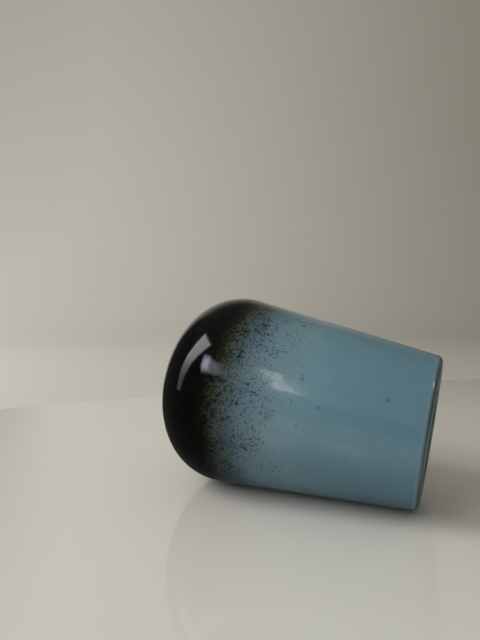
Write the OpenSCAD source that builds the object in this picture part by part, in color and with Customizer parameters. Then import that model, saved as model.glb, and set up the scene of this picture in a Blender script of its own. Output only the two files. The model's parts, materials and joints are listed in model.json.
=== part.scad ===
// Guitar slide: a tapered ceramic barrel with a closed, domed tip and a blind bore for the
// finger. One fired clay body carries three coats of glaze: a liner poured into the bore,
// black over the dome, and blue over the barrel, which laps over the skirt of the black.
//
// The slide lies on its side, as it is put down: the lowest line of the barrel rests on
// z = 0, the dome points towards -X and the open mouth towards +X. The origin is the
// middle of its footprint.
//
// Every section is half of the slide, with r across and y along the axis, from y = 0 at
// the lip to y = slide_len at the crown of the dome.

/* [Barrel] */
// Length along the axis, from the lip to the crown
slide_len = 50; // [46:0.5:58]
// Outside diameter at the mouth, where the line of the barrel meets the plane of the lip
mouth_d = 26.2; // [25:0.2:30]
// Angle between the line of the barrel and the axis, which widens it towards the dome
taper = 8.1; // [4:0.1:9]

/* [Dome] */
// Radius of the round shoulder between the barrel and the crown
shoulder_r = 11.4; // [9:0.1:12]
// Radius of the flatter crown over the axis
crown_r = 25.4; // [22:0.2:32]

/* [Bore and lip] */
// Diameter of the glazed finger bore
bore_d = 18; // [16:0.5:19]
// Depth of the bore along the axis, down to the bottom of its round end
bore_depth = 41; // [30:0.5:42]
// Radius of the rounding on the outside of the lip
lip_r = 1.2; // [0.8:0.1:1.5]
// Radius of the rounding where the lip turns into the bore
bore_lip_r = 1.1; // [0.8:0.1:1.4]

/* [Glaze] */
// Thickness of the finished glaze
glaze_t = 0.4; // [0.3:0.05:0.6]
// Distance from the crown at which the black glaze goes under the blue
black_len = 12; // [8:0.5:16]
// Distance from the crown of the hidden lower edge of the black glaze
skirt_len = 28; // [20:0.5:36]
// Share of the thickness that the black glaze has under the blue
skirt_share = 0.5; // [0.3:0.05:0.7]

/* [Hidden] */
$fn = 144;

mouth_r = mouth_d / 2;
bore_r = bore_d / 2;
// Anything longer than this reaches past the slide
past = 2 * slide_len;
// The barrel's line and the crown lie this far inside the arcs that they run into, so
// that every outline crosses the next one cleanly
hair = 0.001;

// Direction out of the barrel's wall, in the section
wall_out = [cos(taper), -sin(taper)];
// Centre of the crown's arc, on the axis
crown_c = [0, slide_len - crown_r];
// The shoulder's arc touches the line of the barrel, and the crown's arc from within. Both
// hold at the root nearer the dome of a quadratic in the centre's y.
arc_gap = crown_r - shoulder_r;
root_r = mouth_r - shoulder_r / cos(taper);
qa = 1 + pow(tan(taper), 2);
qb = root_r * tan(taper) - crown_c.y;
qc = pow(root_r, 2) + pow(crown_c.y, 2) - pow(arc_gap, 2);
shoulder_y = (sqrt(qb * qb - qa * qc) - qb) / qa;
shoulder_c = [root_r + shoulder_y * tan(taper), shoulder_y];
// Direction, from the r axis, in which the shoulder's arc meets the crown's
crown_a = 90 - asin(shoulder_c.x / arc_gap);

// Centres of the two roundings of the lip, and of the round end of the bore
lip_c = [mouth_r + lip_r * tan(taper) - lip_r / cos(taper), lip_r];
bore_lip_c = [bore_r + bore_lip_r, bore_lip_r];
bore_end_c = [0, bore_depth - bore_r];

// Where the two outer glazes meet, and where the black one ends under the blue
meet_y = slide_len - black_len;
skirt_y = slide_len - skirt_len;
// Depth below the finished surface at which the black lies under the blue
under_t = glaze_t * (1 - skirt_share);

// Centre of the mouth, with the wall on z = 0 and the footprint's middle at the origin
mouth_x = (crown_c.y * cos(taper) + crown_r
    + (lip_r * cos(taper) - lip_c.x * sin(taper) - lip_r)) / 2;
mouth_z = mouth_r * cos(taper);

// Part of a disc, between two directions less than 120 degrees apart
module sector(c, r, from, to) {
    intersection() {
        translate(c)
            circle(r);
        polygon([
            c,
            c + 2 * r * [cos(from), sin(from)],
            c + 2 * r * [cos(to), sin(to)]
        ]);
    }
}

// Section of the slide without its bore, lying deeper than the finished surface by depth
module outline(depth) {
    polygon([
        [0, depth],
        [lip_c.x, depth],
        lip_c + (lip_r - depth - hair) * wall_out,
        shoulder_c + (shoulder_r - depth - hair) * wall_out,
        shoulder_c + (shoulder_r - depth - hair) * [cos(crown_a), sin(crown_a)],
        [0, slide_len - depth - hair]
    ]);
    translate(lip_c)
        circle(lip_r - depth);
    intersection() {
        translate(shoulder_c)
            circle(shoulder_r - depth);
        square(past);
    }
    sector(crown_c, crown_r - depth - hair, crown_a, 90);
}

// Section of the bore, wider than the finished one by depth, open past the lip
module bore_section(depth) {
    difference() {
        translate([0, -1])
            square([bore_lip_c.x, bore_lip_c.y + 1]);
        translate(bore_lip_c)
            circle(bore_lip_r - depth);
    }
    translate([0, bore_lip_c.y])
        square([bore_r + depth, bore_end_c.y - bore_lip_c.y]);
    sector(bore_end_c, bore_r + depth, 0, 90);
}

// Section of an outer coat, between two depths and between two stations on the axis. It
// stops at the rounding into the bore, where the liner begins.
module coat_section(top, bottom, from_y, to_y, from_r = 0) {
    intersection() {
        difference() {
            outline(top);
            outline(bottom);
        }
        translate([from_r, from_y])
            square([past, to_y - from_y]);
    }
}

// Turns a section about the axis and lays the result down on the barrel's lowest line
module turned() {
    translate([mouth_x, 0, mouth_z])
        rotate([0, taper - 90, 0])
            rotate_extrude()
                children();
}

// Fired clay: the thick wall and the solid tip, under all the glazes
module clay_body() {
    color([0.80, 0.72, 0.60])
        turned()
            difference() {
                outline(glaze_t);
                bore_section(glaze_t);
            }
}

// Glaze inside the bore and over the inner rounding of the lip
module liner_glaze() {
    color([0.22, 0.33, 0.32])
        turned()
            difference() {
                bore_section(glaze_t);
                bore_section(0);
            }
}

// Glaze outside the barrel and over the lip, thinner where it laps over the black
module blue_glaze() {
    color([0.36, 0.45, 0.48])
        turned() {
            coat_section(0, glaze_t, 0, skirt_y, bore_lip_c.x);
            coat_section(0, under_t, skirt_y, meet_y);
        }
}

// Glaze over the dome, with the skirt that runs under the blue
module black_glaze() {
    color([0.06, 0.06, 0.05])
        turned() {
            coat_section(0, glaze_t, meet_y, past);
            coat_section(under_t, glaze_t, skirt_y, meet_y);
        }
}

clay_body();
liner_glaze();
blue_glaze();
black_glaze();
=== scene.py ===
"""Looks of a ceramic guitar slide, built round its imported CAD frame.

The slide is one fired pot under three coats of glaze. The clay body is the CAD part itself
with a finish of its own. Each coat is turned anew as a thin closed shell, whose surface
wanders a little as a fired glaze does, and stands for the CAD coat. Lengths are in
millimetres unless a docstring or comment says metres, which is what Blender takes.
"""

import json
import logging
import math
from abc import ABC, abstractmethod
from dataclasses import dataclass
from enum import Enum
from typing import Any, Iterator, Sequence

import bpy
from mathutils import Matrix, Vector


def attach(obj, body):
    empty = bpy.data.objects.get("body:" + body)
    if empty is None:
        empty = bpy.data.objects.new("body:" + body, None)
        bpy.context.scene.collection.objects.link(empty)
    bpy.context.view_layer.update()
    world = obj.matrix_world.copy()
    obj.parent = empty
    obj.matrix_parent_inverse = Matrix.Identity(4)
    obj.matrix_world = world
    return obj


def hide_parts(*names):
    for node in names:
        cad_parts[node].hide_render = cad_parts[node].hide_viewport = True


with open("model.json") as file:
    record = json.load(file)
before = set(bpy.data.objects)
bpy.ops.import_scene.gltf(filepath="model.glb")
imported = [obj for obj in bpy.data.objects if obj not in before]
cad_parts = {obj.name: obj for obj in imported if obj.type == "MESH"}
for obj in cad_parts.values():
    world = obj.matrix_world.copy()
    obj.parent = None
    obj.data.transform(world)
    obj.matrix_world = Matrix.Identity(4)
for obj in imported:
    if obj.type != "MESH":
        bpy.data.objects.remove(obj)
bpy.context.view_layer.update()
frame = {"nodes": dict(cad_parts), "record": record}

log = logging.getLogger("guitar_slide")

MM = 0.001
BODY = "root"

# Degrees of arc beside the seam of the two outer glazes, so short that both coats shade alike
SEAM_STEP = 0.15

# Points closer together than this are the two sides of a seam, or a pole
COAT_MERGE = 0.002
STUDIO_MERGE = 0.01

# Degrees between faces up to which a coat shades as one surface
SMOOTH_ANGLE = 40

# Height in metres of the slide's middle over the table, from which the studio's angles count
MIDDLE_Z = 0.018

# Sockets of the Mix node's colours, whose names it also uses for numbers and vectors
MIX_SHARE, MIX_A, MIX_B, MIX_RESULT = 0, 6, 7, 2

Colour = tuple[float, float, float, float]
Piece = bpy.types.Object
Tree = bpy.types.NodeTree
Socket = bpy.types.NodeSocket


class Facing(Enum):
    """The side of a coat that is seen."""

    OUTWARDS = "away from the axis"
    INWARDS = "towards the axis"


def linear(code: str) -> Colour:
    """Turns an sRGB colour into the linear one that shaders take.

    Args:
        code: Six hex digits, with or without a leading #.

    Returns:
        Linear red, green and blue, and an alpha of 1.
    """
    digits = code.lstrip("#")
    parts = [int(digits[i : i + 2], 16) / 255 for i in (0, 2, 4)]
    # The numbers are those of the sRGB standard.
    r, g, b = (p / 12.92 if p <= 0.04045 else ((p + 0.055) / 1.055) ** 2.4 for p in parts)
    return (r, g, b, 1.0)


def direction(azimuth: float, elevation: float) -> Vector:
    """Gives a unit vector from compass-like angles.

    Args:
        azimuth: Degrees from +Y towards +X.
        elevation: Degrees above the horizon.

    Returns:
        The unit vector.
    """
    a, e = math.radians(azimuth), math.radians(elevation)
    return Vector((math.sin(a) * math.cos(e), math.cos(a) * math.cos(e), math.sin(e)))


def add_node(
    tree: Tree,
    kind: str,
    inputs: dict[str | int, Any] | None = None,
    stops: Sequence[tuple[float, str]] = (),
    **settings: Any,
) -> bpy.types.Node:
    """Adds one node with its settings, its links and its fixed values.

    Args:
        tree: The tree that gets the node.
        kind: The node's type after "ShaderNode", such as "Math".
        inputs: For each input, by name or number, the socket that feeds it or its value.
        stops: A colour ramp's places from 0 to 1, each with its colour in hex.
        **settings: The node's own properties.

    Returns:
        The new node.
    """
    made = tree.nodes.new("ShaderNode" + kind)
    for key, value in settings.items():
        setattr(made, key, value)
    for key, value in (inputs or {}).items():
        if isinstance(value, Socket):
            tree.links.new(value, made.inputs[key])
        else:
            made.inputs[key].default_value = value
    if stops:
        elements = made.color_ramp.elements
        while len(elements) < len(stops):
            elements.new(1.0)
        for element, (place, code) in zip(elements, stops):
            element.position, element.color = place, linear(code)
    return made


def start_fresh() -> None:
    """Leaves edit mode and deselects every object."""
    if bpy.context.object is not None and bpy.context.object.mode != "OBJECT":
        bpy.ops.object.mode_set(mode="OBJECT")
    bpy.ops.object.select_all(action="DESELECT")


def apply_modifier(piece: Piece, kind: str, name: str, **settings: Any) -> None:
    """Adds a modifier to the active piece and applies it.

    Args:
        piece: The active object.
        kind: The modifier's type.
        name: What the modifier does.
        **settings: The modifier's own properties.
    """
    modifier = piece.modifiers.new(name, kind)
    for key, value in settings.items():
        setattr(modifier, key, value)
    bpy.ops.object.modifier_apply(modifier=modifier.name)


@dataclass(frozen=True)
class Profile:
    """Half of the slide's section in mm, with r across and y along the axis from the lip.

    The barrel's line runs into the shoulder's arc, and that into the crown's, each tangent
    to the next.
    """

    length: float = 50.0
    mouth_r: float = 13.1
    taper: float = 8.1
    shoulder_r: float = 11.4
    crown_r: float = 25.4
    bore_r: float = 9.0
    bore_depth: float = 41.0
    lip_r: float = 1.2
    bore_lip_r: float = 1.1
    black_len: float = 12.0

    @property
    def lip_centre(self) -> Vector:
        """Finds the rounding on the outside of the lip.

        Returns:
            Its centre.
        """
        lean = math.radians(self.taper)
        r = self.mouth_r + self.lip_r * math.tan(lean) - self.lip_r / math.cos(lean)
        return Vector((r, self.lip_r))

    @property
    def bore_lip_centre(self) -> Vector:
        """Centre of the rounding where the lip turns into the bore."""
        return Vector((self.bore_r + self.bore_lip_r, self.bore_lip_r))

    @property
    def bore_end_centre(self) -> Vector:
        """Centre of the bore's round end."""
        return Vector((0.0, self.bore_depth - self.bore_r))

    @property
    def crown_centre(self) -> Vector:
        """Centre of the crown's arc, on the axis."""
        return Vector((0.0, self.length - self.crown_r))

    @property
    def shoulder_centre(self) -> Vector:
        """Finds the shoulder's arc from the two lines that it touches.

        Returns:
            Its centre.
        """
        lean = math.radians(self.taper)
        gap = self.crown_r - self.shoulder_r
        root_r = self.mouth_r - self.shoulder_r / math.cos(lean)
        a = 1 + math.tan(lean) ** 2
        b = root_r * math.tan(lean) - self.crown_centre.y
        c = root_r**2 + self.crown_centre.y**2 - gap**2
        y = (math.sqrt(b * b - a * c) - b) / a
        return Vector((root_r + y * math.tan(lean), y))

    @property
    def crown_turn(self) -> float:
        """Degrees from the r axis at which the shoulder's arc meets the crown's."""
        gap = self.crown_r - self.shoulder_r
        return 90 - math.degrees(math.asin(self.shoulder_centre.x / gap))

    @property
    def seam_turn(self) -> float:
        """Degrees from the r axis, on the shoulder's arc, at which the blue meets the black."""
        rise = self.length - self.black_len - self.shoulder_centre.y
        return math.degrees(math.asin(rise / self.shoulder_r))

    @property
    def barrel_line(self) -> float:
        """Measures the barrel's straight line, from the lip's rounding to the shoulder.

        Returns:
            Its length.
        """
        out = Vector((math.cos(math.radians(self.taper)), -math.sin(math.radians(self.taper))))
        start = self.lip_centre + self.lip_r * out
        return (self.shoulder_centre + self.shoulder_r * out - start).length


@dataclass(frozen=True)
class Lay:
    """Where the slide lies: the middle of its mouth, and its axis, in metres.

    Attributes:
        mouth: Middle of the mouth, in the plane of the lip.
        along: Unit vector from the mouth to the crown.
        across: Unit vector at right angles to the axis, up in the plane of the section.
    """

    mouth: Vector
    along: Vector
    across: Vector

    @classmethod
    def from_record(cls, record: dict[str, Any], profile: Profile) -> "Lay":
        """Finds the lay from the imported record's finger bore.

        Args:
            record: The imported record.
            profile: The slide's section, which says how deep the bore's wall lies.

        Returns:
            The lay.
        """
        bore = next(m for m in record["mounts"] if m["name"] == "finger_bore")
        out = Vector(bore["axis"]).normalized()
        middle = (profile.bore_lip_centre.y + profile.bore_end_centre.y) / 2
        side = Vector((0.0, 1.0, 0.0))
        return cls(Vector(bore["pos_m"]) + out * middle * MM, -out, out.cross(side) * -1)

    @property
    def side(self) -> Vector:
        """The axis that turns across towards along."""
        return self.across.cross(self.along)

    @property
    def lean(self) -> float:
        """Angle in radians by which the axis leans down from +X, out of the mouth."""
        return math.atan2(self.along.z, -self.along.x)

    def point(self, r: float, y: float) -> Vector:
        """Turns a point of the section into one in the frame, in metres."""
        return self.mouth + (self.across * r + self.along * y) * MM


@dataclass
class Tracer:
    """Draws a section as a chain of edges, from a single point on, in edit mode."""

    lay: Lay

    def start(self, r: float, y: float) -> None:
        """Starts a new object as one vertex, from a small plane merged to its middle.

        Args:
            r: Distance of the first point from the axis.
            y: Its distance from the lip, along the axis.
        """
        start_fresh()
        bpy.ops.mesh.primitive_plane_add(size=MM, location=self.lay.point(r, y))
        bpy.ops.object.mode_set(mode="EDIT")
        bpy.ops.mesh.select_all(action="SELECT")
        bpy.ops.mesh.merge(type="CENTER")

    def line(self, heading: float, length: float, steps: int) -> None:
        """Extrudes a straight run.

        Args:
            heading: Degrees from the r axis towards the y axis.
            length: Length of the run.
            steps: Number of edges in it.
        """
        turn = math.radians(heading)
        way = self.lay.across * math.cos(turn) + self.lay.along * math.sin(turn)
        for _ in range(steps):
            bpy.ops.mesh.extrude_region_move(
                TRANSFORM_OT_translate={"value": way * (length / steps) * MM}
            )

    def arc(self, centre: Vector, turn: float, steps: int) -> None:
        """Spins the end of the chain about a centre.

        Args:
            centre: The arc's centre in the section.
            turn: Degrees to turn, from the r axis towards the y axis.
            steps: Number of edges in the arc.
        """
        bpy.ops.mesh.spin(
            steps=steps,
            angle=math.radians(turn),
            center=self.lay.point(*centre),
            axis=-self.lay.side,
        )


class Finish(ABC):
    """A surface's material, named for what the real one is."""

    name: str

    @abstractmethod
    def paint(self, tree: Tree) -> Socket:
        """Builds the finish's nodes.

        Args:
            tree: The material's empty tree.

        Returns:
            The shader's output.
        """

    def material(self) -> bpy.types.Material:
        """Makes the material.

        Returns:
            The new material.
        """
        made = bpy.data.materials.new(self.name)
        made.use_nodes = True
        made.node_tree.nodes.clear()
        shader = self.paint(made.node_tree)
        add_node(made.node_tree, "OutputMaterial", {"Surface": shader})
        return made


@dataclass(frozen=True)
class Spatter:
    """A layer of sprayed droplets, which thins out along the slide.

    Droplets are where a fine noise passes a level, which rises with the distance from the
    crown and falls where the spray was crowded.

    Attributes:
        size: Distance in mm between neighbouring droplets where they are dense.
        span: Distances in mm from the crown between which the level rises.
        levels: The noise's level at each end of the span.
        shade: Colour by which a droplet multiplies what lies under it.
        crowding: How far a crowd of 1 lowers the level.
        rim: Heights over the level at which a droplet's rim starts and ends.
    """

    size: float
    span: tuple[float, float]
    levels: tuple[float, float]
    shade: str
    crowding: float = 0.3
    rim: tuple[float, float] = (0.13, 0.21)

    def cover(self, tree: Tree, own: Socket, from_crown: Socket, crowd: Socket) -> Socket:
        """Builds the layer's mask.

        Args:
            tree: The glaze's tree.
            own: The slide's own coordinates in mm.
            from_crown: The distance from the crown in mm.
            crowd: Noise from 0 to 1 that says where the spray was dense.

        Returns:
            1 on a droplet and 0 beside it.
        """
        grit = add_node(
            tree,
            "TexNoise",
            {"Vector": own, "Scale": 1 / self.size, "Detail": 2.5, "Roughness": 0.6},
        ).outputs["Fac"]
        level = add_node(
            tree,
            "MapRange",
            {
                "Value": from_crown,
                "From Min": self.span[0],
                "From Max": self.span[1],
                "To Min": self.levels[0],
                "To Max": self.levels[1],
            },
        ).outputs["Result"]
        above = add_node(tree, "Math", {0: grit, 1: level}, operation="SUBTRACT").outputs[0]
        crowded = add_node(
            tree, "Math", {0: crowd, 1: self.crowding, 2: above}, operation="MULTIPLY_ADD"
        ).outputs[0]
        start, end = self.rim
        return add_node(
            tree,
            "MapRange",
            {"Value": crowded, "From Min": start, "From Max": end},
            interpolation_type="SMOOTHSTEP",
        ).outputs["Result"]


@dataclass(frozen=True)
class Fleck:
    """A single spot burnt into the glaze.

    Attributes:
        place: Its middle in the slide's own mm.
        radius: Its radius in mm.
        softness: Width of its edge in mm.
        shade: Colour by which it multiplies what lies under it.
    """

    place: tuple[float, float, float]
    radius: float
    softness: float
    shade: str

    def cover(self, tree: Tree, own: Socket) -> Socket:
        """Builds the fleck's mask.

        Args:
            tree: The glaze's tree.
            own: The slide's own coordinates in mm.

        Returns:
            1 on the fleck and 0 beside it.
        """
        gap = add_node(
            tree, "VectorMath", {0: own, 1: self.place}, operation="DISTANCE"
        ).outputs["Value"]
        return add_node(
            tree,
            "MapRange",
            {
                "Value": gap,
                "From Min": self.radius,
                "From Max": self.radius + self.softness,
                "To Min": 1.0,
                "To Max": 0.0,
            },
            interpolation_type="SMOOTHSTEP",
        ).outputs["Result"]


@dataclass(frozen=True)
class DippedGlaze(Finish):
    """Blue stoneware glaze with a black one sprayed over the dome, fired glossy.

    The black was sprayed from the crown's side and melted into the blue. The eye sees a deep
    mirror-like black, an olive fringe where it lies thin, and then dark teal droplets that
    thin out over a satin-smooth, slightly cloudy blue, stained green on the flat of the lip,
    with a painted highlight along the lip's edge and painted shade on its flat.
    Distances are from the crown, along the axis.

    Attributes:
        lay: Where the slide lies.
        profile: The slide's section.
        name: What the glaze is.
        tones: Colour of the fired coat at each distance.
        layers: The droplets, finest first.
        flecks: The single spots on the blue.
        edges: Start, end, share and colour of each band on the lip: the pale break, partly a
            painted highlight, and the liner's stain, partly painted shade.
        drifts: Size, detail and swing of each noise that moves the fade.
        crowd_size: Distance between the crowds of droplets.
        cloud_size: Distance between the clouds in the melted glaze.
        cloud_swing: Least and most brightness of the clouds.
        melt: Distances between which the mirror turns to satin.
        roughness: Roughness of the black, and of the blue.
        peel_size: Distance between the crests of the surface's orange peel.
        peel_depth: Height of the orange peel.
        ior: Index of refraction, which is a glass's.
    """

    lay: Lay
    profile: Profile
    name: str = "stoneware glaze, blue under sprayed black"
    tones: tuple[tuple[float, str], ...] = (
        (13.2, "#050504"),
        (14.5, "#080906"),
        (15.5, "#181A0C"),
        (16.5, "#292E23"),
        (17.5, "#3D433D"),
        (18.5, "#414C4A"),
        (19.5, "#485758"),
        (20.5, "#4F6066"),
        (21.5, "#576A70"),
        (22.5, "#5C7077"),
        (24.0, "#60767D"),
        (26.5, "#647E83"),
        (29.0, "#658087"),
        (36.0, "#5D7B83"),
        (46.0, "#597781"),
    )
    # The finest real droplets are under 0.1 mm, too fine to show: these are 0.2 to 0.5 mm wide.
    layers: tuple[Spatter, ...] = (
        Spatter(0.4, (15.0, 40.0), (0.46, 0.80), "#B4BEC0"),
        Spatter(0.75, (16.0, 40.0), (0.55, 0.84), "#A0ACB0"),
        Spatter(1.1, (18.0, 50.0), (0.62, 0.94), "#86989D"),
    )
    flecks: tuple[Fleck, ...] = (
        Fleck((26.2, -16.46, 0.86), 0.15, 0.8, "#F4E4C0"),
        Fleck((30.3, -14.04, 7.46), 0.06, 0.4, "#BAC6CA"),
        Fleck((33.6, -14.97, 3.73), 0.06, 0.35, "#C0CACE"),
        Fleck((43.6, -12.37, 6.57), 0.08, 0.4, "#C0C2C8"),
    )
    # The glaze pulls thin at the lip, where it fires paler, and the pale band is also a painted
    #     # highlight along the lip's edge. The liner stains the lip's flat, and its dark green is
    #     also
    #     # painted shade.
    edges: tuple[tuple[float, float, float, str], ...] = (
        (48.9, 49.3, 0.2, "#93ABAA"),
        (49.3, 49.75, 0.9, "#2A423D"),
    )
    # The edge of the spray wanders in waves of 7 mm. The mist in it, in truth as fine as smoke,
    # is drawn 0.42 mm coarse so that it shows.
    drifts: tuple[tuple[float, float, float], ...] = ((7.0, 2.0, 2.6), (0.42, 3.0, 4.4))
    crowd_size: float = 3.2
    cloud_size: float = 5.0
    cloud_swing: tuple[float, float] = (0.93, 1.07)
    melt: tuple[float, float] = (14.0, 20.0)
    roughness: tuple[float, float] = (0.08, 0.11)
    peel_size: float = 2.5
    peel_depth: float = 0.02
    ior: float = 1.5

    def paint(self, tree: Tree) -> Socket:
        """Builds the glaze: colour by place, a roughness that grows, and orange peel.

        Args:
            tree: The material's empty tree.

        Returns:
            The shader's output.
        """
        coords = add_node(tree, "TexCoord").outputs["Object"]
        # The slide's own millimetres: X runs from the crown along the axis to the mouth.
        own = add_node(
            tree,
            "Mapping",
            {
                "Vector": coords,
                "Location": self.lay.point(0, self.profile.length),
                "Rotation": (0.0, self.lay.lean, 0.0),
                "Scale": (MM, MM, MM),
            },
            vector_type="TEXTURE",
        ).outputs["Vector"]
        from_crown = add_node(tree, "SeparateXYZ", {"Vector": own}).outputs["X"]
        place = self.wandering_place(tree, own, from_crown)
        colour = self.colour(tree, own, from_crown, place)

        # The black melts to a mirror; the blue has a very fine satin.
        roughness = add_node(
            tree,
            "MapRange",
            {
                "Value": place,
                "From Min": self.melt[0],
                "From Max": self.melt[1],
                "To Min": self.roughness[0],
                "To Max": self.roughness[1],
            },
            interpolation_type="SMOOTHSTEP",
        ).outputs["Result"]

        # The fired surface keeps a faint orange peel, which makes reflections swim a little.
        peel = add_node(
            tree,
            "TexNoise",
            {"Vector": own, "Scale": 1 / self.peel_size, "Detail": 1.0, "Roughness": 0.4},
        ).outputs["Fac"]
        normal = add_node(
            tree, "Bump", {"Strength": 1.0, "Distance": self.peel_depth * MM, "Height": peel}
        ).outputs["Normal"]
        return add_node(
            tree,
            "BsdfPrincipled",
            {"Base Color": colour, "Roughness": roughness, "IOR": self.ior, "Normal": normal},
        ).outputs["BSDF"]

    def wandering_place(self, tree: Tree, own: Socket, from_crown: Socket) -> Socket:
        """Lets the spray's edge wander, and its mist mottle the fade.

        Args:
            tree: The glaze's tree.
            own: The slide's own coordinates in mm.
            from_crown: The true distance from the crown in mm.

        Returns:
            The distance from the crown at which the coat's colour is read.
        """
        place = from_crown
        for size, detail, swing in self.drifts:
            noise = add_node(
                tree,
                "TexNoise",
                {"Vector": own, "Scale": 1 / size, "Detail": detail, "Roughness": 0.6},
            ).outputs["Fac"]
            centred = add_node(tree, "Math", {0: noise, 1: 0.5}, operation="SUBTRACT")
            place = add_node(
                tree, "Math", {0: centred.outputs[0], 1: swing, 2: place}, operation="MULTIPLY_ADD"
            ).outputs[0]
        return place

    def colour(self, tree: Tree, own: Socket, from_crown: Socket, place: Socket) -> Socket:
        """Lays the fade, the cloudiness, the stained lip with its painted highlight and shade, the
        droplets and the flecks.

        Args:
            tree: The glaze's tree.
            own: The slide's own coordinates in mm.
            from_crown: The true distance from the crown in mm.
            place: The wandering distance from the crown in mm.

        Returns:
            The coat's colour.
        """
        span = self.profile.length
        share = add_node(tree, "Math", {0: place, 1: span}, operation="DIVIDE")
        tone = add_node(
            tree,
            "ValToRGB",
            {"Fac": share.outputs[0]},
            stops=[(at / span, code) for at, code in self.tones],
        ).outputs["Color"]

        # Cloudiness of the melted glaze, down to grains of about 0.2 mm
        cloud = add_node(
            tree,
            "TexNoise",
            {"Vector": own, "Scale": 1 / self.cloud_size, "Detail": 5.0, "Roughness": 0.78},
        ).outputs["Fac"]
        cloudiness = add_node(
            tree,
            "MapRange",
            {
                "Value": cloud,
                "From Min": 0.25,
                "From Max": 0.75,
                "To Min": self.cloud_swing[0],
                "To Max": self.cloud_swing[1],
            },
        ).outputs["Result"]
        tone = add_node(
            tree, "VectorMath", {"Vector": tone, "Scale": cloudiness}, operation="SCALE"
        ).outputs["Vector"]

        # Bands on the lip: a pale break that is partly a painted highlight, and a stain that is
        # partly painted shade
        for start, end, most, shade in self.edges:
            share = add_node(
                tree,
                "MapRange",
                {"Value": from_crown, "From Min": start, "From Max": end, "To Max": most},
                interpolation_type="SMOOTHSTEP",
            ).outputs["Result"]
            tone = add_node(
                tree,
                "Mix",
                {MIX_SHARE: share, MIX_A: tone, MIX_B: linear(shade)},
                data_type="RGBA",
            ).outputs[MIX_RESULT]

        crowd = add_node(
            tree, "TexNoise", {"Vector": own, "Scale": 1 / self.crowd_size, "Detail": 2.0}
        ).outputs["Fac"]
        spots = [(one.cover(tree, own, from_crown, crowd), one.shade) for one in self.layers]
        spots += [(one.cover(tree, own), one.shade) for one in self.flecks]
        for cover, shade in spots:
            tone = add_node(
                tree,
                "Mix",
                {MIX_SHARE: cover, MIX_A: tone, MIX_B: linear(shade)},
                data_type="RGBA",
                blend_type="MULTIPLY",
            ).outputs[MIX_RESULT]
        return tone


@dataclass(frozen=True)
class Mottled(Finish):
    """A surface of soft ripples or grains, whose height gives their colour.

    Attributes:
        name: What the surface is.
        tones: Its colours at values of the noise.
        grain: Distance between the ripples or grains.
        detail: How many times they halve down to their finest.
        depth: Height of the ripples or grains.
        strength: Share of that height which shades.
        roughness: Its roughness.
        ior: Its index of refraction.
    """

    name: str
    tones: tuple[tuple[float, str], ...]
    grain: float
    detail: float
    depth: float
    strength: float
    roughness: float
    ior: float = 1.5

    def paint(self, tree: Tree) -> Socket:
        """Builds the surface: one noise for its colour and its relief.

        Args:
            tree: The material's empty tree.

        Returns:
            The shader's output.
        """
        coords = add_node(tree, "TexCoord").outputs["Object"]
        noise = add_node(
            tree,
            "TexNoise",
            {"Vector": coords, "Scale": 1 / (self.grain * MM), "Detail": self.detail},
        ).outputs["Fac"]
        colour = add_node(tree, "ValToRGB", {"Fac": noise}, stops=self.tones).outputs["Color"]
        normal = add_node(
            tree, "Bump", {"Strength": self.strength, "Distance": self.depth * MM, "Height": noise}
        ).outputs["Normal"]
        return add_node(
            tree,
            "BsdfPrincipled",
            {"Base Color": colour, "Roughness": self.roughness, "IOR": self.ior, "Normal": normal},
        ).outputs["BSDF"]


@dataclass(frozen=True)
class PooledGlaze(Mottled):
    """Blue-green stoneware glaze poured into the bore, thick and dark where it gathers.

    It was swirled round inside and drained, so it is uneven and duller than the outside. The
    eye sees a deep bottle green that clears to teal in soft patches.
    """

    name: str = "stoneware glaze, poured blue-green liner"
    tones: tuple[tuple[float, str], ...] = ((0.3, "#2E4B47"), (0.7, "#48706C"))
    grain: float = 4.0
    detail: float = 4.0
    depth: float = 0.05
    strength: float = 0.3
    roughness: float = 0.25


@dataclass(frozen=True)
class FiredClay(Mottled):
    """Buff stoneware, thrown and fired.

    The fire leaves it dry and sandy. The eye sees a dull oatmeal colour, speckled by grains of
    grog.
    """

    name: str = "fired buff stoneware"
    tones: tuple[tuple[float, str], ...] = (
        (0.3, "#A8906F"),
        (0.55, "#C4B08F"),
        (0.75, "#D8C8AA"),
    )
    grain: float = 0.5
    detail: float = 5.0
    depth: float = 0.05
    strength: float = 0.6
    roughness: float = 0.85


# Painted shade round the slide, seen only as the slide mirrors it: azimuth and elevation of each
# # middle, the cosines of the angles from it at which the shade starts and is full, and its share
PAINTED_SHADE_PLACES: tuple[tuple[tuple[float, float], float, float, float], ...] = (
    ((-115, 10), 0.40, 0.60, 1.0),
    ((10, -20), 0.80, 0.95, 0.75),
    ((0, -90), 0.20, 0.40, 0.75),
    ((0, 90), 0.18, 0.42, 0.7),
)

# Glow of a studio surface where the slide mirrors it with painted shade
UNLIT = 0.05


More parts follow.
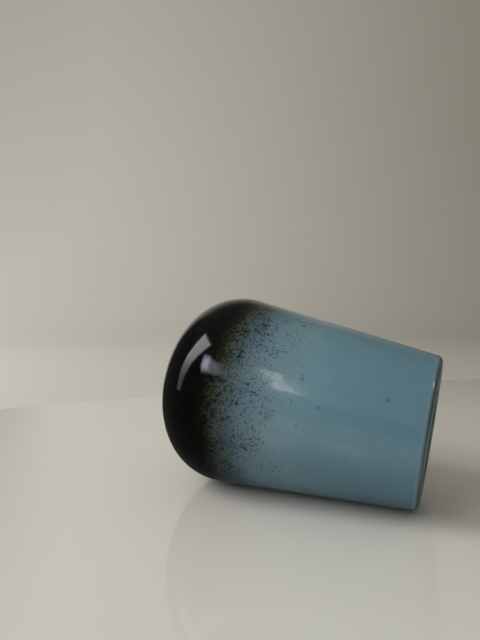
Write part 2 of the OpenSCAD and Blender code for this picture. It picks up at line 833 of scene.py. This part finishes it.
def painted_gloss_shade(tree: Tree, way: Socket) -> Socket:
    """Says how much painted shade a direction gets in the gloss of the glaze.

    The shade is painted on the studio's surfaces for glossy rays only: an unlit corner, the
    table in the slide's shade, and the wall darker towards the ceiling.

    Args:
        tree: The tree of a studio surface.
        way: The direction from the slide, of any length.

    Returns:
        Up to 1 for a glossy ray that looks into the painted shade, 0 for any other ray.
    """
    # The corner is twice as high as it is wide.
    low = add_node(tree, "VectorMath", {0: way, 1: (1, 1, 0.5)}, operation="MULTIPLY")
    unit = add_node(
        tree, "VectorMath", {0: low.outputs["Vector"]}, operation="NORMALIZE"
    ).outputs["Vector"]
    dark: Socket | float = 0.0
    for towards, start, end, most in PAINTED_SHADE_PLACES:
        near = add_node(
            tree, "VectorMath", {0: unit, 1: direction(*towards)}, operation="DOT_PRODUCT"
        ).outputs["Value"]
        shade = add_node(
            tree,
            "MapRange",
            {"Value": near, "From Min": start, "From Max": end, "To Max": most},
            interpolation_type="SMOOTHSTEP",
        )
        dark = add_node(
            tree, "Math", {0: dark, 1: shade.outputs["Result"]}, operation="MAXIMUM"
        ).outputs[0]
    glossy = add_node(tree, "LightPath").outputs["Is Glossy Ray"]
    return add_node(tree, "Math", {0: dark, 1: glossy}, operation="MULTIPLY").outputs[0]


@dataclass(frozen=True)
class Painted(Finish):
    """A plain surface of the studio: laminate pressed smooth, or wall paint rolled on matt.

    The eye sees a soft mirror in the laminate and none in the paint. Its colour fades from
    left to right as painted light, lighter on the side of the window.

    Attributes:
        name: What the surface is.
        left: Its colour towards -X, lighter as painted light from the window's side.
        right: Its colour towards +X, darker as painted shade.
        roughness: Its roughness.
        ior: Its index of refraction.
        fade: Metres along X between which left turns to right, over which the painted light
            falls off.
    """

    name: str
    left: str
    right: str
    roughness: float
    ior: float
    fade: tuple[float, float] = (-0.55, 0.1)

    def paint(self, tree: Tree) -> Socket:
        """Builds the surface, with painted shade where the slide's gloss mirrors it.

        Args:
            tree: The material's empty tree.

        Returns:
            The shader's output.
        """
        coords = add_node(tree, "TexCoord").outputs["Object"]
        across = add_node(tree, "SeparateXYZ", {"Vector": coords}).outputs["X"]
        # Painted light: lighter to the left, on the window's side, and darker to the right
        start, end = self.fade
        share = add_node(
            tree, "MapRange", {"Value": across, "From Min": start, "From Max": end}
        ).outputs["Result"]
        colour = add_node(
            tree,
            "Mix",
            {MIX_SHARE: share, MIX_A: linear(self.left), MIX_B: linear(self.right)},
            data_type="RGBA",
        ).outputs[MIX_RESULT]
        surface = add_node(
            tree,
            "BsdfPrincipled",
            {"Base Color": colour, "Roughness": self.roughness, "IOR": self.ior},
        ).outputs["BSDF"]
        way = add_node(
            tree, "VectorMath", {0: coords, 1: (0, 0, MIDDLE_Z)}, operation="SUBTRACT"
        ).outputs["Vector"]
        # Painted shade: a dim glow in place of the lit surface, for glossy rays only
        unlit = add_node(tree, "Emission", {"Strength": UNLIT}).outputs["Emission"]
        return add_node(
            tree, "MixShader", {0: painted_gloss_shade(tree, way), 1: surface, 2: unlit}
        ).outputs["Shader"]


@dataclass
class Coat(ABC):
    """A coat of glaze, turned about the slide's axis as a thin closed shell.

    The visible surface lies on the section and wanders below it, never above. The shell stays
    clear of the clay, which lies 0.4 mm deep.

    Attributes:
        profile: The slide's section.
        lay: Where the slide lies.
        finish: The glaze.
        name: The piece's name.
        node: The CAD coat that it stands for.
        slot: The record's material slot, which is not used.
        facing: The side that is seen.
        around: Number of edges round the axis.
        thickness: Thickness of the shell.
        unevenness: How deep the surface sinks at most.
        wave: Size of the waves in which it sinks.
    """

    profile: Profile
    lay: Lay
    finish: Finish
    name: str = ""
    node: str = ""
    slot: str = ""
    facing: Facing = Facing.OUTWARDS
    around: int = 192
    thickness: float = 0.3
    unevenness: float = 0.09
    wave: float = 6.5

    @abstractmethod
    def trace(self, pen: Tracer) -> None:
        """Draws the visible line of the coat's section.

        Args:
            pen: Draws the chain of edges.
        """

    def turn(self) -> Piece:
        """Spins the traced section about the axis and closes its seam and pole.

        Returns:
            The open surface.
        """
        bpy.ops.mesh.select_all(action="SELECT")
        bpy.ops.mesh.spin(
            steps=self.around, angle=math.tau, center=self.lay.mouth, axis=self.lay.along
        )
        bpy.ops.mesh.select_all(action="SELECT")
        bpy.ops.mesh.remove_doubles(threshold=COAT_MERGE * MM)
        bpy.ops.mesh.normals_make_consistent(inside=self.facing is Facing.INWARDS)
        bpy.ops.object.mode_set(mode="OBJECT")
        piece = bpy.context.object
        bpy.ops.object.transform_apply(location=True, rotation=True, scale=True)
        piece.name = piece.data.name = self.name
        return piece

    def age(self, piece: Piece) -> None:
        """Sinks the surface unevenly, as glaze settles in the kiln, and gives it thickness.

        Args:
            piece: The open surface, which is the active object.
        """
        store, name = bpy.data.textures, "glaze settling"
        clouds = store.get(name) or store.new(name, "CLOUDS")
        clouds.noise_scale, clouds.noise_depth = self.wave * MM, 1
        apply_modifier(
            piece,
            "DISPLACE",
            "settled glaze",
            texture=clouds,
            texture_coords="GLOBAL",
            direction="NORMAL",
            mid_level=1.0,
            strength=self.unevenness * MM,
        )
        apply_modifier(
            piece,
            "SOLIDIFY",
            "thickness of the coat",
            thickness=self.thickness * MM,
            offset=-1.0,
            use_even_offset=True,
        )
        bpy.ops.object.mode_set(mode="EDIT")
        bpy.ops.mesh.select_all(action="SELECT")
        bpy.ops.mesh.normals_make_consistent(inside=False)
        bpy.ops.object.mode_set(mode="OBJECT")
        bpy.ops.object.shade_smooth_by_angle(angle=math.radians(SMOOTH_ANGLE))

    def build(self) -> Piece:
        """Models the coat, dresses it and puts it in place of the CAD coat.

        Returns:
            The finished piece.
        """
        self.trace(Tracer(self.lay))
        piece = self.turn()
        self.age(piece)
        piece.data.materials.append(self.finish.material())
        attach(piece, BODY)
        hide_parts(self.node)
        return piece


@dataclass
class BlueCoat(Coat):
    """Glaze over the flat of the lip and the barrel, up to the black glaze."""

    name: str = "blue_glaze_coat"
    node: str = "blue_glaze"
    slot: str = "blue_glaze"

    def trace(self, pen: Tracer) -> None:
        """Draws the coat from the lip to its seam.

        Args:
            pen: Draws the chain of edges.
        """
        p = self.profile
        pen.start(p.bore_lip_centre.x, 0.0)
        pen.line(0, p.lip_centre.x - p.bore_lip_centre.x, steps=5)
        pen.arc(p.lip_centre, 90 - p.taper, steps=14)
        pen.line(90 - p.taper, p.barrel_line, steps=60)
        pen.arc(p.shoulder_centre, p.taper + p.seam_turn - SEAM_STEP, steps=8)
        pen.arc(p.shoulder_centre, SEAM_STEP, steps=1)


@dataclass
class BlackCoat(Coat):
    """Glaze over the dome, from its seam with the blue to the crown."""

    name: str = "black_glaze_cap"
    node: str = "black_glaze"
    slot: str = "black_glaze"

    def trace(self, pen: Tracer) -> None:
        """Draws the coat from its seam to the axis.

        Args:
            pen: Draws the chain of edges.
        """
        p = self.profile
        start = p.shoulder_centre + p.shoulder_r * Vector(
            (math.cos(math.radians(p.seam_turn)), math.sin(math.radians(p.seam_turn)))
        )
        pen.start(*start)
        pen.arc(p.shoulder_centre, SEAM_STEP, steps=1)
        pen.arc(p.shoulder_centre, p.crown_turn - p.seam_turn - SEAM_STEP, steps=36)
        pen.arc(p.crown_centre, 90 - p.crown_turn, steps=36)


@dataclass
class Liner(Coat):
    """Glaze inside the bore, from the lip to the bore's round end."""

    name: str = "bore_liner_coat"
    node: str = "liner_glaze"
    slot: str = "liner_glaze"
    facing: Facing = Facing.INWARDS

    def trace(self, pen: Tracer) -> None:
        """Draws the coat from the lip to the end of the bore.

        Args:
            pen: Draws the chain of edges.
        """
        p = self.profile
        pen.start(p.bore_lip_centre.x, 0.0)
        pen.arc(p.bore_lip_centre, -90, steps=14)
        pen.line(90, p.bore_end_centre.y - p.bore_lip_centre.y, steps=44)
        pen.arc(p.bore_end_centre, 90, steps=28)


@dataclass
class ClayBody:
    """The fired clay under the glazes, which is the CAD part itself."""

    node: Piece
    finish: Finish = FiredClay()

    def dress(self) -> Piece:
        """Gives the CAD part its finish.

        Returns:
            The CAD part.
        """
        self.node.data.materials.clear()
        self.node.data.materials.append(self.finish.material())
        return self.node


class Reach(Enum):
    """What a light panel reaches."""

    ALL = "lights the room and shows in gloss"
    GLOSS = "only shows in gloss"
    ROOM = "only lights the room"


# Degrees from +Y towards +X, degrees above the horizon, and the strength there
Glow = tuple[float, float, float]


@dataclass(frozen=True)
class LightPanel:
    """A soft light or a dark card, as a sheet whose points are seen from the slide.

    Attributes:
        name: What the panel is.
        rows: Its points, row by row, each row as long as the next.
        reach: What the panel reaches.
        distance: Its distance from the slide in metres.
        colour: Colour of its light.
    """

    name: str
    rows: tuple[tuple[Glow, ...], ...]
    reach: Reach = Reach.ALL
    distance: float = 0.6
    colour: str = "#FFFFFF"

    @classmethod
    def soft_square(
        cls,
        name: str,
        azimuths: tuple[float, float],
        elevations: tuple[float, float],
        edge: float,
        strength: float,
        **settings: Any,
    ) -> "LightPanel":
        """Makes a panel with straight sides, whose glow fades out at its edges.

        Args:
            name: What the panel is.
            azimuths: Degrees between which it glows in full.
            elevations: Degrees between which it glows in full.
            edge: Degrees over which the glow fades out.
            strength: Strength of the full glow.
            **settings: The panel's other fields.

        Returns:
            The panel.
        """
        (a, b), (low, high) = azimuths, elevations
        sides = ((a - edge, 0.0), (a, 1.0), (b, 1.0), (b + edge, 0.0))
        heights = ((low - edge, 0.0), (low, 1.0), (high, 1.0), (high + edge, 0.0))
        rows = tuple(
            tuple((side, height, strength * s * h) for side, s in sides) for height, h in heights
        )
        return cls(name, rows, **settings)

    def build(self) -> Piece:
        """Places the panel.

        Returns:
            The panel.
        """
        start_fresh()
        # The grid's own size is of no matter, because each of its points is moved.
        bpy.ops.mesh.primitive_grid_add(
            x_subdivisions=len(self.rows[0]) - 1, y_subdivisions=len(self.rows) - 1, size=0.1
        )
        panel = bpy.context.object
        panel.name = self.name
        glow = panel.data.attributes.new("glow", "FLOAT", "POINT")
        middle = Vector((0, 0, MIDDLE_Z))
        points = [point for row in self.rows for point in row]
        glow.data.foreach_set("value", [strength for _, _, strength in points])
        for i, (azimuth, elevation, _) in enumerate(points):
            self.move(panel, i, middle + direction(azimuth, elevation) * self.distance)
        self.face(panel, middle)
        panel.data.materials.append(self.material())
        panel.visible_camera = panel.visible_shadow = panel.visible_transmission = False
        panel.visible_glossy = self.reach is not Reach.ROOM
        panel.visible_diffuse = self.reach is not Reach.GLOSS
        return panel

    @staticmethod
    def move(panel: Piece, i: int, there: Vector) -> None:
        """Moves one vertex of the panel.

        Args:
            panel: The active object.
            i: The vertex.
            there: Its new place.
        """
        bpy.ops.object.mode_set(mode="EDIT")
        bpy.ops.mesh.select_mode(type="VERT")
        bpy.ops.mesh.select_all(action="DESELECT")
        bpy.ops.object.mode_set(mode="OBJECT")
        vertex = panel.data.vertices[i]
        vertex.select = True
        step = there - vertex.co
        bpy.ops.object.mode_set(mode="EDIT")
        bpy.ops.transform.translate(value=step)
        bpy.ops.object.mode_set(mode="OBJECT")

    @staticmethod
    def face(panel: Piece, middle: Vector) -> None:
        """Turns the lit side of the panel to the slide.

        Args:
            panel: The active object.
            middle: The middle of the slide.
        """
        face = panel.data.polygons[len(panel.data.polygons) // 2]
        if face.normal.dot(middle - face.center) < 0:
            bpy.ops.object.mode_set(mode="EDIT")
            bpy.ops.mesh.select_all(action="SELECT")
            bpy.ops.mesh.flip_normals()
            bpy.ops.object.mode_set(mode="OBJECT")

    def material(self) -> bpy.types.Material:
        """Makes the panel's glow, on its lit side only.

        Returns:
            The new material.
        """
        made = bpy.data.materials.new(self.name)
        made.use_nodes = True
        tree = made.node_tree
        tree.nodes.clear()
        strength = add_node(tree, "Attribute", attribute_name="glow").outputs["Fac"]
        light = add_node(
            tree, "Emission", {"Color": linear(self.colour), "Strength": strength}
        ).outputs["Emission"]
        clear = add_node(tree, "BsdfTransparent").outputs["BSDF"]
        back = add_node(tree, "NewGeometry").outputs["Backfacing"]
        sheet = add_node(tree, "MixShader", {0: back, 1: light, 2: clear})
        add_node(tree, "OutputMaterial", {"Surface": sheet.outputs["Shader"]})
        return made


def window_rows() -> tuple[tuple[Glow, ...], ...]:
    """Gives the window's rows: bright at its head, dim at its foot, soft on its right.

    Returns:
        The rows, from the foot up.
    """
    # Azimuths of the left and right sides, elevation, and strength on the left side
    rows = (
        (-112, -118, -1.5, 0.8),
        (-112, -119, 4, 0.9),
        (-111, -121, 12, 0.85),
        (-111, -125, 22, 1.9),
        (-110, -131, 31, 3.6),
        (-109, -141, 45, 4.1),
        (-108, -149, 55, 4.3),
        (-108, -149, 57, 0.0),
    )
    right_share, soft_edge = 0.95, 4
    return tuple(
        ((left, el, glow), (right, el, glow * right_share), (right - soft_edge, el, 0.0))
        for left, right, el, glow in rows
    )


@dataclass
class Studio:
    """Pale table, pale wall, soft light and the camera.

    Attributes:
        table: The table's finish.
        paint: The finish of the floor and the wall.
        table_r: Radius of the table, so wide that its edge looks straight.
        table_middle: The table's middle, from the slide's.
        table_step: How far below it the floor lies.
        floor_r: Radius at which the floor starts to curve up.
        wall_r: Radius of the wall.
        wall_h: Height of the wall.
        sweep_steps: Number of edges in that curve.
        around: Number of edges round the room.
        room_light: Strength of the even light.
        mirror_light: Its strength where it is seen in gloss.
        camera_place: The camera's place in metres.
        camera_turn: Degrees that it is turned left of +Y, down, and clockwise.
        lens: Its focal length, for a frame of 36 mm.
        panels: The soft lights and the dark card.
    """

    # Both finishes are lighter to the left and darker to the right as painted light.
    table: Painted = Painted("white laminate with painted side light", "#D1CDC3", "#CFCBC2", 0.08, 1.8)
    paint: Painted = Painted("matt wall paint with painted side light", "#F2EFE8", "#AFABA0", 0.9, 1.5)
    table_r: float = 600.0
    table_middle: tuple[float, float] = (344.9, -360.8)
    table_step: float = 1.0
    floor_r: float = 450.0
    wall_r: float = 800.0
    wall_h: float = 700.0
    sweep_steps: int = 12
    around: int = 96
    room_light: float = 0.5
    mirror_light: float = 0.1
    camera_place: tuple[float, float, float] = (0.02912, -0.08722, 0.03544)
    camera_turn: tuple[float, float, float] = (25.2, 2.05, 0.66)
    lens: float = 26.97
    panels: tuple[LightPanel, ...] = (
        LightPanel("window light", window_rows()),
        LightPanel.soft_square(
            "small soft light", (-166, -157), (31, 38), 7.0, 7.0, colour="#EEF0FF"
        ),
        LightPanel.soft_square("dim soft light", (177, 179), (24, 42), 1.2, 5.0),
        LightPanel.soft_square("side light", (73, 81), (32, 39), 3.0, 7.0, reach=Reach.GLOSS),
        LightPanel.soft_square(
            "dark card", (141, 184), (-8, 13), 1.0, 0.0, reach=Reach.GLOSS, distance=0.3
        ),
        LightPanel.soft_square("key light", (-155, -105), (20, 56), 5.0, 3.0, reach=Reach.ROOM),
        LightPanel.soft_square(
            "low light",
            (140, 195),
            (-4.5, 14),
            1.0,
            1.4,
            reach=Reach.ROOM,
            distance=0.16,
            colour="#DCEAFF",
        ),
    )

    def build_sweep(
        self, name: str, section: Sequence[tuple[float, float]], finish: Finish
    ) -> Piece:
        """Turns a line of floor or wall about the middle of the studio.

        Args:
            name: The object's name.
            section: Points of the line, as distance from the middle and height.
            finish: The surface's finish.

        Returns:
            The surface.
        """
        start_fresh()
        first, *rest = [Vector((r, 0, z)) * MM for r, z in section]
        bpy.ops.mesh.primitive_plane_add(size=MM, location=first)
        bpy.ops.object.mode_set(mode="EDIT")
        bpy.ops.mesh.select_all(action="SELECT")
        bpy.ops.mesh.merge(type="CENTER")
        here = first
        for there in rest:
            bpy.ops.mesh.extrude_region_move(TRANSFORM_OT_translate={"value": there - here})
            here = there
        bpy.ops.mesh.select_all(action="SELECT")
        bpy.ops.mesh.spin(steps=self.around, angle=math.tau, center=(0, 0, 0), axis=(0, 0, 1))
        bpy.ops.mesh.select_all(action="SELECT")
        bpy.ops.mesh.remove_doubles(threshold=STUDIO_MERGE * MM)
        bpy.ops.object.mode_set(mode="OBJECT")
        bpy.ops.object.shade_smooth()
        bpy.ops.object.transform_apply(location=True, rotation=True, scale=True)
        surface = bpy.context.object
        surface.name = name
        surface.data.materials.append(finish.material())
        return surface

    def build_room(self) -> None:
        """Lays the table top, and under it the floor, which curves up into the wall."""
        sweep = self.wall_r - self.floor_r
        turns = [math.radians(90 * i / self.sweep_steps) for i in range(self.sweep_steps + 1)]
        curve = [
            (self.floor_r + sweep * math.sin(t), sweep * (1 - math.cos(t))) for t in turns[1:]
        ]
        top = self.build_sweep("table", [(0, 0), (self.table_r, 0)], self.table)
        top.location = Vector((*self.table_middle, 0)) * MM
        bpy.ops.object.transform_apply(location=True, rotation=True, scale=True)
        foot = [(0, -self.table_step), (self.floor_r, -self.table_step)]
        self.build_sweep("wall", [*foot, *curve, (self.wall_r, self.wall_h)], self.paint)

    def build_world(self) -> None:
        """Sets the even light of the room, which gloss mirrors dimmer."""
        world = bpy.data.worlds.new("room light")
        bpy.context.scene.world = world
        world.use_nodes = True
        world.node_tree.nodes.clear()
        tree = world.node_tree
        glossy = add_node(tree, "LightPath").outputs["Is Glossy Ray"]
        strength = add_node(
            tree,
            "MapRange",
            {"Value": glossy, "To Min": self.room_light, "To Max": self.mirror_light},
        ).outputs["Result"]
        glow = add_node(tree, "Background", {"Color": linear("#F4F3EC"), "Strength": strength})
        add_node(tree, "OutputWorld", {"Surface": glow.outputs[0]})

    def build_camera(self) -> Piece:
        """Puts the camera low over the table, looking across the barrel.

        Returns:
            The camera.
        """
        start_fresh()
        yaw, pitch, roll = self.camera_turn
        turn = (
            Matrix.Rotation(math.radians(yaw), 3, "Z")
            @ Matrix.Rotation(math.radians(90 - pitch), 3, "X")
            @ Matrix.Rotation(math.radians(-roll), 3, "Z")
        )
        bpy.ops.object.camera_add(location=self.camera_place, rotation=turn.to_euler())
        camera = bpy.context.object
        camera.data.lens, camera.data.sensor_width = self.lens, 36.0
        camera.data.clip_start = MM
        bpy.context.scene.camera = camera
        return camera

    def build(self) -> None:
        """Builds the floor, the wall, the lights and the camera."""
        self.build_room()
        self.build_world()
        for panel in self.panels:
            panel.build()
        self.build_camera()
        bpy.context.scene.view_settings.view_transform = "Standard"


def coats(profile: Profile, lay: Lay) -> Iterator[Coat]:
    """Gives the coats of glaze in the order in which they are made.

    Args:
        profile: The slide's section.
        lay: Where the slide lies.

    Returns:
        The three coats, one by one.
    """
    outside = DippedGlaze(lay, profile)
    yield BlueCoat(profile, lay, outside)
    yield BlackCoat(profile, lay, outside)
    yield Liner(profile, lay, PooledGlaze())


def main() -> None:
    """Builds the studio and the slide."""
    logging.basicConfig(level=logging.INFO, format="%(name)s: %(message)s")
    Studio().build()
    profile = Profile()
    lay = Lay.from_record(frame["record"], profile)
    clay = ClayBody(frame["nodes"]["clay_body"]).dress()
    log.info("%s: %d faces, from the CAD", clay.name, len(clay.data.polygons))
    for coat in coats(profile, lay):
        piece = coat.build()
        log.info("%s: %d faces, in place of %s", piece.name, len(piece.data.polygons), coat.node)
    start_fresh()


if __name__ == "__main__":
    main()
